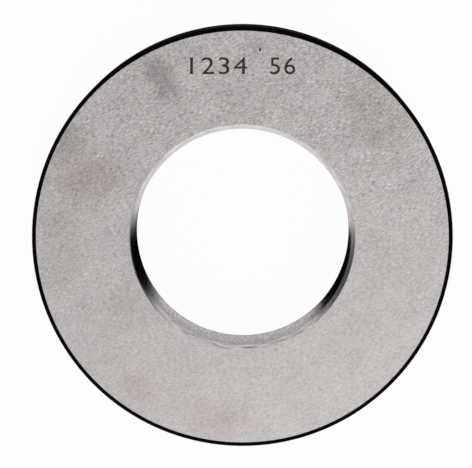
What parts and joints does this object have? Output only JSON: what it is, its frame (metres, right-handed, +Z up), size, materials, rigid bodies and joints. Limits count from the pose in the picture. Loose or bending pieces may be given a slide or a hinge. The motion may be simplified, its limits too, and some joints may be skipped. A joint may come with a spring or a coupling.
{
  "type": "thread ring gauge",
  "caption": "Solid steel thread ring gauge: a thick flat ring with a fine screw thread through its bore, for checking a matching screw by hand.",
  "frame": {"origin": "centre of the lower flat face, where the bore axis meets the surface that the ring lies on", "axes": "+Z up along the bore axis, towards the marked face; +Y towards the marking on that face; +X to the right of the marking as it is read"},
  "size_m": [0.098, 0.098, 0.024],
  "materials": {
    "ground_steel": "hardened gauge steel, flat faces surface ground and lapped to a dull grey, rim blackened, thread and its mouths bright"
  },
  "bodies": {
    "root": {"gauge_ring": "ground_steel"}
  },
  "joints": []
}
